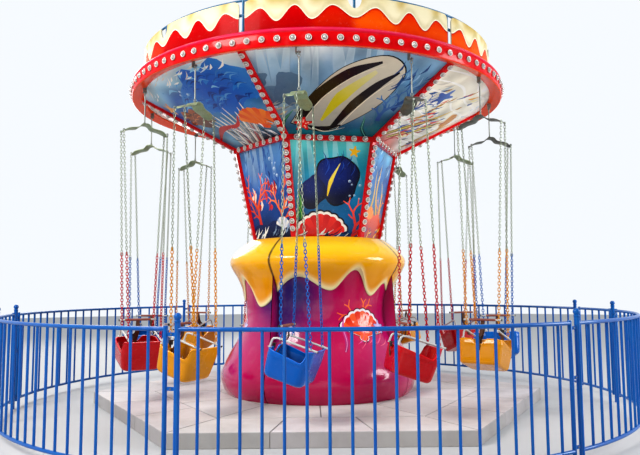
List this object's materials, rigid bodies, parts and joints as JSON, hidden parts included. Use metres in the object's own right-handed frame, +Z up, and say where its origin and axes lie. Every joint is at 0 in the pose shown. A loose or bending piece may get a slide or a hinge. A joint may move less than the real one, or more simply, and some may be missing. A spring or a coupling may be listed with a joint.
{
  "type": "chair swing ride",
  "caption": "Chair swing ride: moulded base, six-sided waist, flared round canopy with bulbs, box seats on chains, and a ring fence with gates.",
  "frame": {"origin": "on the ground under the mast, at the middle of the plinth's underside", "axes": "+Z up, -Y towards the pictured front"},
  "size_m": [7.5543, 7.5471, 4.42],
  "materials": {
    "stone_slab": "pale sawn stone slabs with joints",
    "crimson_shell": "glossy moulded crimson and magenta",
    "cream_collar": "glossy golden yellow fading to cream at the drips",
    "mast_steel": "grey enamel",
    "printed_panel": "printed underwater scene, semi-gloss",
    "red_paint": "glossy red",
    "fascia_paint": "red and orange peaks under cream drips",
    "blue_pipe": "blue enamel",
    "hanger_steel": "grey-green painted and galvanised steel",
    "seat_blue": "glossy blue moulding",
    "seat_red": "glossy red moulding",
    "seat_yellow": "glossy golden yellow moulding",
    "fence_blue": "royal blue enamel"
  },
  "bodies": {
    "ground": {"plinth": "stone_slab", "base_housing": "crimson_shell", "drip_collar": "cream_collar", "centre_mast": "mast_steel", "fence_bay_1": "fence_blue", "fence_bay_2": "fence_blue", "fence_bay_3": "fence_blue", "fence_bay_4": "fence_blue", "fence_bay_5": "fence_blue", "fence_bay_6": "fence_blue"},
    "rotor": {"turntable": "mast_steel", "light_rib_frame": "red_paint", "waist_panel_1": "printed_panel", "waist_panel_2": "printed_panel", "waist_panel_3": "printed_panel", "waist_panel_4": "printed_panel", "waist_panel_5": "printed_panel", "waist_panel_6": "printed_panel", "canopy_panel_1": "printed_panel", "canopy_panel_2": "printed_panel", "canopy_panel_3": "printed_panel", "canopy_panel_4": "printed_panel", "canopy_panel_5": "printed_panel", "canopy_panel_6": "printed_panel", "light_rim": "red_paint", "fascia_board_1": "fascia_paint", "fascia_board_2": "fascia_paint", "fascia_board_3": "fascia_paint", "fascia_board_4": "fascia_paint", "fascia_board_5": "fascia_paint", "fascia_board_6": "fascia_paint", "roof_frame": "blue_pipe"},
    "chair_01": {"hanger_01": "hanger_steel", "seat_01": "seat_blue"},
    "chair_02": {"hanger_02": "hanger_steel", "seat_02": "seat_red"},
    "chair_03": {"hanger_03": "hanger_steel", "seat_03": "seat_yellow"},
    "chair_04": {"hanger_04": "hanger_steel", "seat_04": "seat_blue"},
    "chair_05": {"hanger_05": "hanger_steel", "seat_05": "seat_red"},
    "chair_06": {"hanger_06": "hanger_steel", "seat_06": "seat_yellow"},
    "chair_07": {"hanger_07": "hanger_steel", "seat_07": "seat_blue"},
    "chair_08": {"hanger_08": "hanger_steel", "seat_08": "seat_red"},
    "chair_09": {"hanger_09": "hanger_steel", "seat_09": "seat_yellow"},
    "chair_10": {"hanger_10": "hanger_steel", "seat_10": "seat_blue"},
    "chair_11": {"hanger_11": "hanger_steel", "seat_11": "seat_red"},
    "chair_12": {"hanger_12": "hanger_steel", "seat_12": "seat_yellow"},
    "gate_right": {"gate_right": "fence_blue"},
    "gate_left": {"gate_left": "fence_blue"}
  },
  "joints": [
    {"name": "top_spin", "type": "hinge", "parent": "ground", "child": "rotor", "pos_m": [0, 0, 2], "axis": [0, 0, 1], "continuous": true},
    {"name": "swing_01", "type": "hinge", "parent": "rotor", "child": "chair_01", "pos_m": [-0.17747, -2.25503, 3.79], "axis": [-0.9969, 0.0785, 0], "range_deg": [-8, 20]},
    {"name": "swing_02", "type": "hinge", "parent": "rotor", "child": "chair_02", "pos_m": [0.97382, -2.04165, 3.79], "axis": [-0.9026, -0.4305, 0], "range_deg": [-8, 20]},
    {"name": "swing_03", "type": "hinge", "parent": "rotor", "child": "chair_03", "pos_m": [1.86417, -1.28121, 3.79], "axis": [-0.5664, -0.8241, 0], "range_deg": [-8, 20]},
    {"name": "swing_04", "type": "hinge", "parent": "rotor", "child": "chair_04", "pos_m": [2.25503, -0.17747, 3.79], "axis": [-0.0785, -0.9969, 0], "range_deg": [-8, 20]},
    {"name": "swing_05", "type": "hinge", "parent": "rotor", "child": "chair_05", "pos_m": [2.04165, 0.97382, 3.79], "axis": [0.4305, -0.9026, 0], "range_deg": [-8, 20]},
    {"name": "swing_06", "type": "hinge", "parent": "rotor", "child": "chair_06", "pos_m": [1.28121, 1.86417, 3.79], "axis": [0.8241, -0.5664, 0], "range_deg": [-8, 20]},
    {"name": "swing_07", "type": "hinge", "parent": "rotor", "child": "chair_07", "pos_m": [0.17747, 2.25503, 3.79], "axis": [0.9969, -0.0785, 0], "range_deg": [-8, 20]},
    {"name": "swing_08", "type": "hinge", "parent": "rotor", "child": "chair_08", "pos_m": [-0.97382, 2.04165, 3.79], "axis": [0.9026, 0.4305, 0], "range_deg": [-8, 20]},
    {"name": "swing_09", "type": "hinge", "parent": "rotor", "child": "chair_09", "pos_m": [-1.86417, 1.28121, 3.79], "axis": [0.5664, 0.8241, 0], "range_deg": [-8, 20]},
    {"name": "swing_10", "type": "hinge", "parent": "rotor", "child": "chair_10", "pos_m": [-2.25503, 0.17747, 3.79], "axis": [0.0785, 0.9969, 0], "range_deg": [-8, 20]},
    {"name": "swing_11", "type": "hinge", "parent": "rotor", "child": "chair_11", "pos_m": [-2.04165, -0.97382, 3.79], "axis": [-0.4305, 0.9026, 0], "range_deg": [-8, 20]},
    {"name": "swing_12", "type": "hinge", "parent": "rotor", "child": "chair_12", "pos_m": [-1.28121, -1.86417, 3.79], "axis": [-0.8241, 0.5664, 0], "range_deg": [-8, 20]},
    {"name": "gate_right_hinge", "type": "hinge", "parent": "ground", "child": "gate_right", "pos_m": [3.67822, 0.76218, 0.6], "axis": [0, 0, 1], "range_deg": [0, 95]},
    {"name": "gate_left_hinge", "type": "hinge", "parent": "ground", "child": "gate_left", "pos_m": [-3.49722, -1.37102, 0.6], "axis": [0, 0, 1], "range_deg": [0, 95]}
  ]
}
